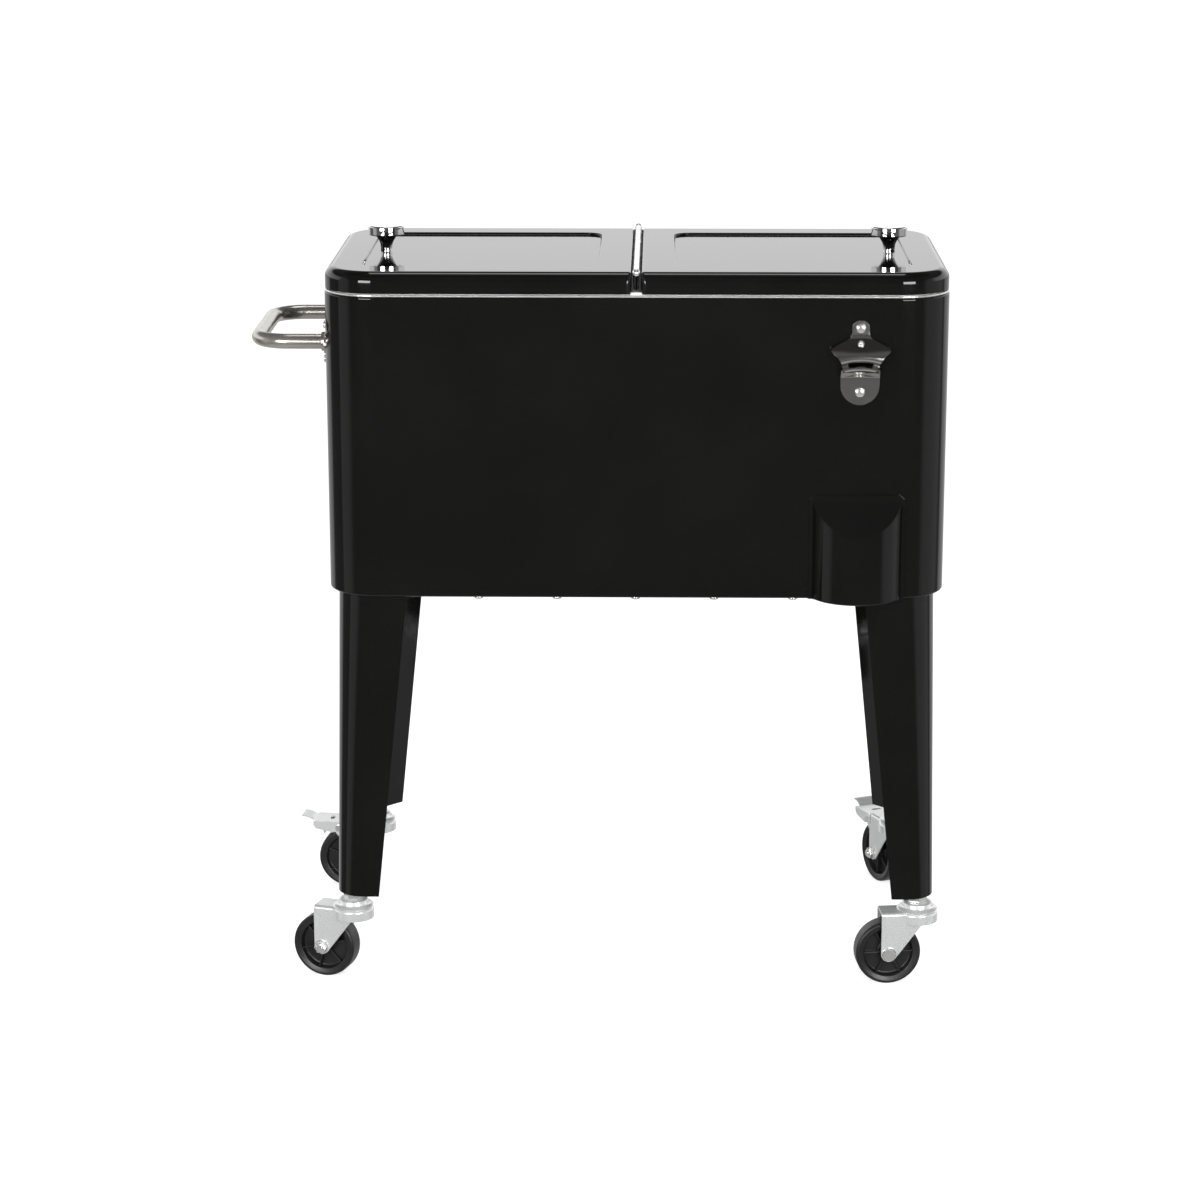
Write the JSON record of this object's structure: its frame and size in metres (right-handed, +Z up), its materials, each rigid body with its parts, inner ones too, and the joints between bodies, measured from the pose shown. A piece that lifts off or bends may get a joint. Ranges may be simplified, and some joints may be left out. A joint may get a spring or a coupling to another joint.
{
  "type": "rolling patio cooler",
  "caption": "Insulated patio cooler: steel cabinet with split lids hinged along the middle, round knobs, tapered legs on swivel casters, a push handle and a bottle opener over a cap catcher.",
  "frame": {"origin": "on the floor, under the middle of the whole object's footprint", "axes": "+Z up, +X towards the right end (the push handle is on the left end), -Y towards the front with the bottle opener"},
  "size_m": [0.732, 0.434, 0.7957],
  "materials": {
    "black_paint": "gloss powder coat",
    "galvanised_steel": "plain galvanised sheet",
    "white_plastic": "moulded, slightly satin",
    "hinge_rod_white": "bright plated rod",
    "foam": "foamed in place",
    "seal_rubber": "soft gasket",
    "chrome": "mirror chrome",
    "polished_steel": "polished stainless sheet",
    "satin_steel": "polished stainless tube",
    "screw_steel": "plated",
    "drain_plastic": "moulded",
    "zinc_plate": "bright zinc plated",
    "wheel_black": "moulded, slightly glossy"
  },
  "bodies": {
    "cabinet": {"cabinet_shell": "black_paint", "rim_trim": "polished_steel", "bottom_panel": "galvanised_steel", "bottom_screws": "screw_steel", "basin_liner": "white_plastic", "foam_insulation": "foam", "centre_bar": "white_plastic", "hinge_centre_leaf": "black_paint", "hinge_pin": "hinge_rod_white", "bottle_opener": "polished_steel", "opener_screws": "polished_steel", "cap_catcher": "black_paint", "catcher_screws": "screw_steel", "push_handle": "satin_steel", "handle_flanges": "satin_steel", "handle_screws": "satin_steel", "drain_spout": "drain_plastic", "drain_nut": "drain_plastic", "front_left_leg": "black_paint", "front_right_leg": "black_paint", "rear_left_leg": "black_paint", "rear_right_leg": "black_paint", "leg_bolts": "screw_steel", "leg_sockets": "galvanised_steel", "caster_stems": "zinc_plate", "stem_nuts": "zinc_plate"},
    "left_lid": {"left_lid_skin": "black_paint", "left_lid_liner": "white_plastic", "left_lid_foam": "foam", "left_lid_seal": "seal_rubber", "left_hinge_leaf": "black_paint", "left_knob": "chrome", "left_knob_screw": "screw_steel"},
    "right_lid": {"right_lid_skin": "black_paint", "right_lid_liner": "white_plastic", "right_lid_foam": "foam", "right_lid_seal": "seal_rubber", "right_hinge_leaf": "black_paint", "right_knob": "chrome", "right_knob_screw": "screw_steel"},
    "drain_cap": {"drain_cap": "drain_plastic"},
    "front_left_swivel": {"front_left_fork": "zinc_plate", "front_left_axle": "zinc_plate"},
    "front_left_wheel": {"front_left_wheel": "wheel_black"},
    "front_right_swivel": {"front_right_fork": "zinc_plate", "front_right_axle": "zinc_plate"},
    "front_right_wheel": {"front_right_wheel": "wheel_black"},
    "rear_left_swivel": {"rear_left_fork": "zinc_plate", "rear_left_axle": "zinc_plate", "rear_left_brake_pin": "zinc_plate"},
    "rear_left_wheel": {"rear_left_wheel": "wheel_black"},
    "rear_left_brake": {"rear_left_brake_lever": "zinc_plate"},
    "rear_right_swivel": {"rear_right_fork": "zinc_plate", "rear_right_axle": "zinc_plate", "rear_right_brake_pin": "zinc_plate"},
    "rear_right_wheel": {"rear_right_wheel": "wheel_black"},
    "rear_right_brake": {"rear_right_brake_lever": "zinc_plate"}
  },
  "joints": [
    {"name": "left_lid_hinge", "type": "hinge", "parent": "cabinet", "child": "left_lid", "pos_m": [0.041, -0.01531, 0.7705], "axis": [0, 1, 0], "range_deg": [0, 80]},
    {"name": "right_lid_hinge", "type": "hinge", "parent": "cabinet", "child": "right_lid", "pos_m": [0.041, -0.01531, 0.7705], "axis": [0, -1, 0], "range_deg": [0, 80]},
    {"name": "drain_cap_turn", "type": "hinge", "parent": "cabinet", "child": "drain_cap", "pos_m": [0.231, 0.01469, 0.41], "axis": [0, 0, 1], "range_deg": [0, 1080]},
    {"name": "front_left_swivel", "type": "hinge", "parent": "cabinet", "child": "front_left_swivel", "pos_m": [-0.262, -0.16431, 0.08], "axis": [0, 0, 1], "continuous": true},
    {"name": "front_left_wheel_spin", "type": "hinge", "parent": "front_left_swivel", "child": "front_left_wheel", "pos_m": [-0.29243, -0.15442, 0.035], "axis": [0.309, 0.9511, 0], "continuous": true},
    {"name": "front_right_swivel", "type": "hinge", "parent": "cabinet", "child": "front_right_swivel", "pos_m": [0.344, -0.16431, 0.08], "axis": [0, 0, 1], "continuous": true},
    {"name": "front_right_wheel_spin", "type": "hinge", "parent": "front_right_swivel", "child": "front_right_wheel", "pos_m": [0.31217, -0.16765, 0.035], "axis": [-0.1045, 0.9945, 0], "continuous": true},
    {"name": "rear_left_swivel", "type": "hinge", "parent": "cabinet", "child": "rear_left_swivel", "pos_m": [-0.262, 0.13369, 0.08], "axis": [0, 0, 1], "continuous": true},
    {"name": "rear_left_wheel_spin", "type": "hinge", "parent": "rear_left_swivel", "child": "rear_left_wheel", "pos_m": [-0.29383, 0.13703, 0.035], "axis": [0.1045, 0.9945, 0], "continuous": true},
    {"name": "rear_left_brake", "type": "hinge", "parent": "rear_left_swivel", "child": "rear_left_brake", "pos_m": [-0.30377, 0.13808, 0.073], "axis": [-0.1045, -0.9945, 0], "range_deg": [0, 13]},
    {"name": "rear_right_swivel", "type": "hinge", "parent": "cabinet", "child": "rear_right_swivel", "pos_m": [0.344, 0.13369, 0.08], "axis": [0, 0, 1], "continuous": true},
    {"name": "rear_right_wheel_spin", "type": "hinge", "parent": "rear_right_swivel", "child": "rear_right_wheel", "pos_m": [0.33048, 0.16269, 0.035], "axis": [0.9063, 0.4226, 0], "continuous": true},
    {"name": "rear_right_brake", "type": "hinge", "parent": "rear_right_swivel", "child": "rear_right_brake", "pos_m": [0.32625, 0.17175, 0.073], "axis": [-0.9063, -0.4226, 0], "range_deg": [0, 13]}
  ]
}
